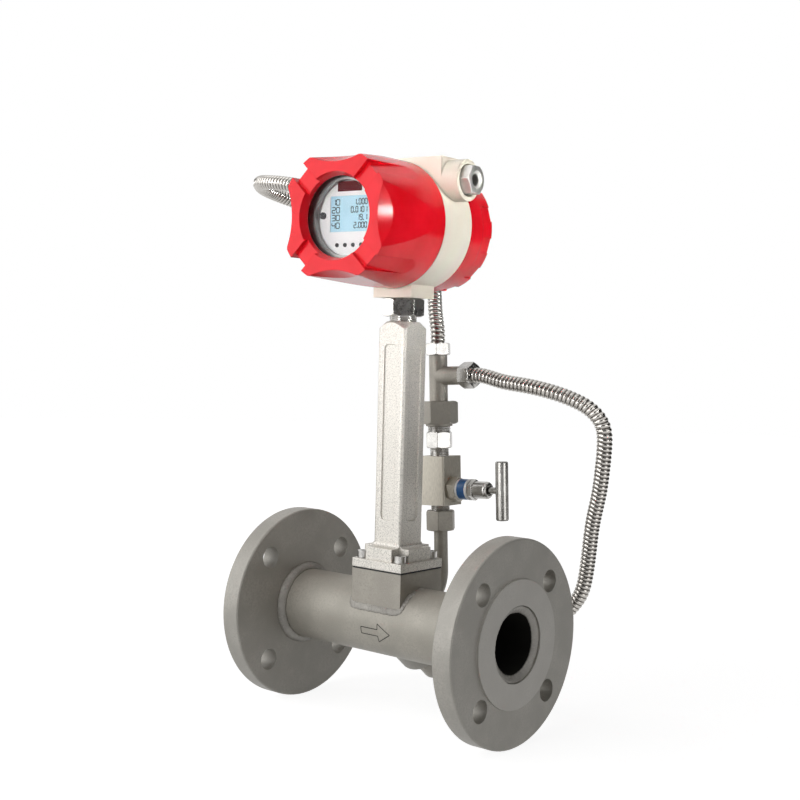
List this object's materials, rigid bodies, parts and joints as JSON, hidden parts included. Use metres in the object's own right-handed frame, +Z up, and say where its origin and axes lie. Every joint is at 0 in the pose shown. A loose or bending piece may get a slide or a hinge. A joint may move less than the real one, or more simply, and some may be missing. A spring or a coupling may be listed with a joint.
{
  "type": "vortex flow meter",
  "caption": "Flanged vortex flow meter: meter tube with shedder bar, cast neck, round display head with screw covers, and a rear needle valve with metal hoses to the sensors.",
  "frame": {"origin": "centre of the raised face of the inlet flange", "axes": "+X along the flow, +Z up towards the head, -Y the side that the display faces"},
  "size_m": [0.3586, 0.2199, 0.4635],
  "materials": {
    "blasted_steel": "bead-blasted stainless steel, grey-brown",
    "weld_steel": "brushed weld beads",
    "probe_steel": "ground stainless steel",
    "cast_aluminium": "sand-cast, tumbled",
    "machined_steel": "turned stainless steel, bright",
    "hose_steel": "corrugated stainless hose",
    "cream_paint": "smooth cream powder coat",
    "red_paint": "glossy red powder coat",
    "window_glass": "clear toughened glass",
    "seal_rubber": "black rubber",
    "ring_aluminium": "satin",
    "panel_plastic": "light grey",
    "lcd_glass": "light cyan liquid crystal glass",
    "plate_plastic": "bare dark red plate",
    "key_plastic": "dark grey",
    "circuit_board": "green solder mask",
    "post_brass": "plain",
    "terminal_plastic": "green",
    "band_plastic": "blue band with white edges"
  },
  "bodies": {
    "root": {"inlet_flange": "blasted_steel", "outlet_flange": "blasted_steel", "meter_tube": "blasted_steel", "sensor_pad": "blasted_steel", "pressure_tee": "blasted_steel", "pressure_sensor": "blasted_steel", "valve_body": "blasted_steel", "tap_nut": "blasted_steel", "tap_tube": "blasted_steel", "well_boss": "blasted_steel", "temperature_sensor": "blasted_steel", "weld_beads": "weld_steel", "shedder_bar": "probe_steel", "vortex_probe": "probe_steel", "neck": "cast_aluminium", "neck_screws": "machined_steel", "neck_nipple": "machined_steel", "lock_nut": "machined_steel", "gland_body": "machined_steel", "gland_nut": "machined_steel", "conduit_adapter": "machined_steel", "conduit_nut": "machined_steel", "tee_nut": "machined_steel", "branch_nut": "machined_steel", "valve_top_nut": "machined_steel", "valve_bonnet": "machined_steel", "lock_ring": "machined_steel", "packing_nut": "machined_steel", "well_hose_nut": "machined_steel", "head_hose": "hose_steel", "sensor_hose": "hose_steel", "head_housing": "cream_paint", "neck_gasket": "seal_rubber", "gland_seal": "seal_rubber", "display_panel": "panel_plastic", "lcd": "lcd_glass", "name_plate": "plate_plastic", "display_screws": "key_plastic", "display_board": "circuit_board", "main_board": "circuit_board", "terminal_board": "circuit_board", "board_posts": "post_brass", "terminal_block": "terminal_plastic", "bonnet_band": "band_plastic"},
    "front_seal": {"front_seal": "seal_rubber"},
    "front_cover": {"front_cover": "red_paint", "window_glass": "window_glass", "window_seal": "seal_rubber", "window_ring": "ring_aluminium"},
    "rear_seal": {"rear_seal": "seal_rubber"},
    "rear_cover": {"rear_cover": "red_paint"},
    "needle": {"needle_tip": "probe_steel"},
    "handle": {"valve_stem": "machined_steel", "t_handle": "machined_steel"},
    "key_1": {"key_1": "key_plastic"},
    "key_2": {"key_2": "key_plastic"},
    "key_3": {"key_3": "key_plastic"},
    "key_4": {"key_4": "key_plastic"}
  },
  "joints": [
    {"name": "front_cover_turn", "type": "hinge", "parent": "root", "child": "front_seal", "pos_m": [0.125, 0, 0.3275], "axis": [0.0941, -0.9956, 0], "range_deg": [0, 2160]},
    {"name": "front_cover_run", "type": "slide", "parent": "front_seal", "child": "front_cover", "axis": [0.0941, -0.9956, 0], "range_m": [0, 0.012]},
    {"name": "rear_cover_turn", "type": "hinge", "parent": "root", "child": "rear_seal", "pos_m": [0.125, 0, 0.3275], "axis": [-0.0941, 0.9956, 0], "range_deg": [0, 2160]},
    {"name": "rear_cover_run", "type": "slide", "parent": "rear_seal", "child": "rear_cover", "axis": [-0.0941, 0.9956, 0], "range_m": [0, 0.012]},
    {"name": "needle_run", "type": "slide", "parent": "root", "child": "needle", "axis": [0.9986, 0, 0.0523], "range_m": [0, 0.005]},
    {"name": "handle_turn", "type": "hinge", "parent": "needle", "child": "handle", "pos_m": [0.11945, 0.062, 0.10585], "axis": [0.9986, 0, 0.0523], "range_deg": [0, 1800]},
    {"name": "key_1_press", "type": "slide", "parent": "root", "child": "key_1", "axis": [-0.0941, 0.9956, 0], "range_m": [0, 0.0004], "stiffness_N_per_m": 800},
    {"name": "key_2_press", "type": "slide", "parent": "root", "child": "key_2", "axis": [-0.0941, 0.9956, 0], "range_m": [0, 0.0004], "stiffness_N_per_m": 800},
    {"name": "key_3_press", "type": "slide", "parent": "root", "child": "key_3", "axis": [-0.0941, 0.9956, 0], "range_m": [0, 0.0004], "stiffness_N_per_m": 800},
    {"name": "key_4_press", "type": "slide", "parent": "root", "child": "key_4", "axis": [-0.0941, 0.9956, 0], "range_m": [0, 0.0004], "stiffness_N_per_m": 800}
  ],
  "couplings": [
    {"joint": "front_cover_run", "follows": "front_cover_turn", "m_per_rad": 0.00031831},
    {"joint": "rear_cover_run", "follows": "rear_cover_turn", "m_per_rad": 0.00031831},
    {"joint": "handle_turn", "follows": "needle_run", "rad_per_m": 6283.2}
  ]
}
